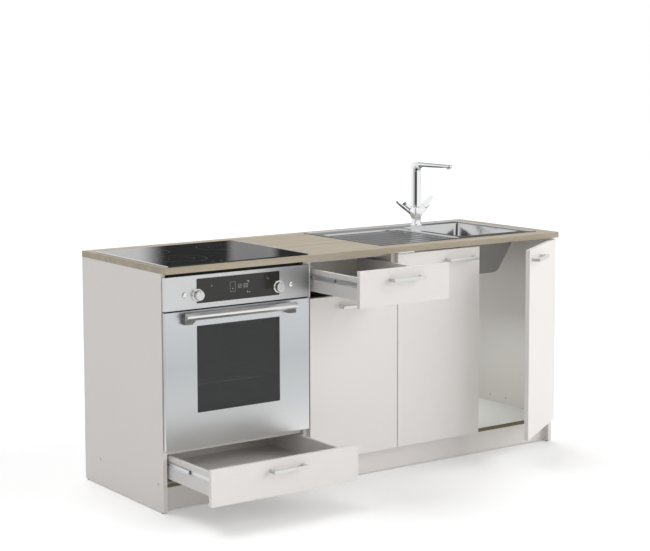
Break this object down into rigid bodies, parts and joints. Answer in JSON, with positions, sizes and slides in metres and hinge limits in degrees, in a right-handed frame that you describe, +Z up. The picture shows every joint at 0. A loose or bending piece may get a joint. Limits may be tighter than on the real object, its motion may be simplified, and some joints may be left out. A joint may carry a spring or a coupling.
{
  "type": "kitchen base cabinet",
  "caption": "Run of kitchen base cabinets with built-in oven, hob, sink and tap under one worktop; drawers, hinged doors and oven door that open",
  "frame": {"origin": "back left corner of the run on the floor, where the left end, the wall plane and the floor meet", "axes": "+X along the run to the right as seen from the room, +Y from the room towards the wall, +Z up"},
  "size_m": [1.8, 0.915, 1.108],
  "materials": {
    "oak_laminate": "light oak laminate with straight grain along the run",
    "white_fronts": "smooth warm white laminate",
    "carcass_board": "light warm grey melamine, fine texture",
    "drawer_board": "light grey melamine",
    "galvanised_steel": "bare steel",
    "black_plastic": "moulded plastic",
    "black_glass": "black ceramic glass, polished",
    "oven_glass": "dark tinted glass",
    "brushed_steel": "brushed stainless steel",
    "chrome": "polished chrome",
    "satin_handles": "satin silver",
    "satin_knobs": "satin silver plastic",
    "enamel": "dark enamel",
    "element_steel": "heat darkened steel"
  },
  "bodies": {
    "carcass": {"worktop": "oak_laminate", "oven_unit_sides": "carcass_board", "drawer_unit_sides": "carcass_board", "sink_unit_sides": "carcass_board", "carcass_floors": "carcass_board", "cross_rails": "carcass_board", "drawer_unit_back": "carcass_board", "plinth": "carcass_board", "floor_glides": "black_plastic", "oven_shelf": "carcass_board", "cupboard_shelf": "carcass_board", "shelf_pins": "galvanised_steel", "slide_rails_fixed": "galvanised_steel", "hinge_arms": "galvanised_steel", "hob_glass": "black_glass", "hob_trim": "brushed_steel", "hob_tray": "galvanised_steel", "sink": "brushed_steel", "sink_bowl": "brushed_steel", "sink_waste": "brushed_steel", "tap_body": "chrome", "oven_casing": "galvanised_steel", "oven_cavity": "enamel", "oven_elements": "element_steel", "oven_rack": "chrome", "oven_control_panel": "brushed_steel", "oven_display": "black_glass", "oven_hinge_arms": "galvanised_steel"},
    "tap_spout": {"tap_spout": "chrome"},
    "tap_lever_left": {"tap_lever_left": "chrome"},
    "tap_lever_right": {"tap_lever_right": "chrome"},
    "oven_knob_left": {"oven_knob_left": "satin_knobs"},
    "oven_knob_right": {"oven_knob_right": "satin_knobs"},
    "oven_button_left": {"oven_button_left": "satin_knobs"},
    "oven_button_right": {"oven_button_right": "satin_knobs"},
    "oven_door": {"oven_door_panel": "brushed_steel", "oven_door_glass": "oven_glass", "oven_door_frame": "enamel", "oven_door_inner_glass": "oven_glass", "oven_door_handle": "satin_handles"},
    "upper_drawer": {"upper_drawer_front": "white_fronts", "upper_drawer_box": "drawer_board", "upper_drawer_rails": "galvanised_steel", "upper_drawer_handle": "satin_handles"},
    "upper_drawer_slides": {"upper_drawer_slides": "galvanised_steel"},
    "lower_drawer": {"lower_drawer_front": "white_fronts", "lower_drawer_box": "drawer_board", "lower_drawer_rails": "galvanised_steel", "lower_drawer_handle": "satin_handles"},
    "lower_drawer_slides": {"lower_drawer_slides": "galvanised_steel"},
    "drawer_unit_door": {"drawer_unit_door": "white_fronts", "drawer_unit_door_hinges": "galvanised_steel", "drawer_unit_door_handle": "satin_handles"},
    "sink_door_left": {"sink_door_left": "white_fronts", "sink_door_left_hinges": "galvanised_steel", "sink_door_left_handle": "satin_handles"},
    "sink_door_right": {"sink_door_right": "white_fronts", "sink_door_right_hinges": "galvanised_steel", "sink_door_right_handle": "satin_handles"}
  },
  "joints": [
    {"name": "upper_drawer_travel", "type": "slide", "parent": "carcass", "child": "upper_drawer", "axis": [0, -1, 0], "range_m": [-0.295, 0.181]},
    {"name": "upper_slides_travel", "type": "slide", "parent": "carcass", "child": "upper_drawer_slides", "axis": [0, -1, 0], "range_m": [-0.1475, 0.0905]},
    {"name": "lower_drawer_travel", "type": "slide", "parent": "carcass", "child": "lower_drawer", "axis": [0, -1, 0], "range_m": [-0.29, 0.186]},
    {"name": "lower_slides_travel", "type": "slide", "parent": "carcass", "child": "lower_drawer_slides", "axis": [0, -1, 0], "range_m": [-0.145, 0.093]},
    {"name": "drawer_unit_door_hinge", "type": "hinge", "parent": "carcass", "child": "drawer_unit_door", "pos_m": [0.606, -0.584, 0.3905], "axis": [0, 0, -1], "range_deg": [0, 90]},
    {"name": "sink_door_left_hinge", "type": "hinge", "parent": "carcass", "child": "sink_door_left", "pos_m": [1.006, -0.584, 0.456], "axis": [0, 0, -1], "range_deg": [0, 80]},
    {"name": "sink_door_right_hinge", "type": "hinge", "parent": "carcass", "child": "sink_door_right", "pos_m": [1.794, -0.584, 0.456], "axis": [0, 0, 1], "range_deg": [-32.3, 75.7]},
    {"name": "oven_door_hinge", "type": "hinge", "parent": "carcass", "child": "oven_door", "pos_m": [0.3, -0.5825, 0.23], "axis": [1, 0, 0], "range_deg": [0, 90]},
    {"name": "oven_knob_left_turn", "type": "hinge", "parent": "carcass", "child": "oven_knob_left", "pos_m": [0.133, -0.6, 0.747], "axis": [0, 1, 0], "range_deg": [0, 270]},
    {"name": "oven_knob_right_turn", "type": "hinge", "parent": "carcass", "child": "oven_knob_right", "pos_m": [0.467, -0.6, 0.747], "axis": [0, 1, 0], "range_deg": [0, 270]},
    {"name": "oven_button_left_press", "type": "slide", "parent": "carcass", "child": "oven_button_left", "axis": [0, 1, 0], "range_m": [0, 0.002], "stiffness_N_per_m": 300},
    {"name": "oven_button_right_press", "type": "slide", "parent": "carcass", "child": "oven_button_right", "axis": [0, 1, 0], "range_m": [0, 0.002], "stiffness_N_per_m": 300},
    {"name": "tap_spout_swivel", "type": "hinge", "parent": "carcass", "child": "tap_spout", "pos_m": [1.51, -0.065, 0.93], "axis": [0, 0, 1], "range_deg": [-60, 60]},
    {"name": "tap_lever_left_turn", "type": "hinge", "parent": "carcass", "child": "tap_lever_left", "pos_m": [1.47117, -0.065, 0.92061], "axis": [-0.809, 0, 0.5878], "range_deg": [-90, 0]},
    {"name": "tap_lever_right_turn", "type": "hinge", "parent": "carcass", "child": "tap_lever_right", "pos_m": [1.54883, -0.065, 0.92061], "axis": [0.809, 0, 0.5878], "range_deg": [-90, 0]}
  ],
  "couplings": [
    {"joint": "upper_slides_travel", "follows": "upper_drawer_travel", "ratio": 0.5},
    {"joint": "lower_slides_travel", "follows": "lower_drawer_travel", "ratio": 0.5}
  ]
}
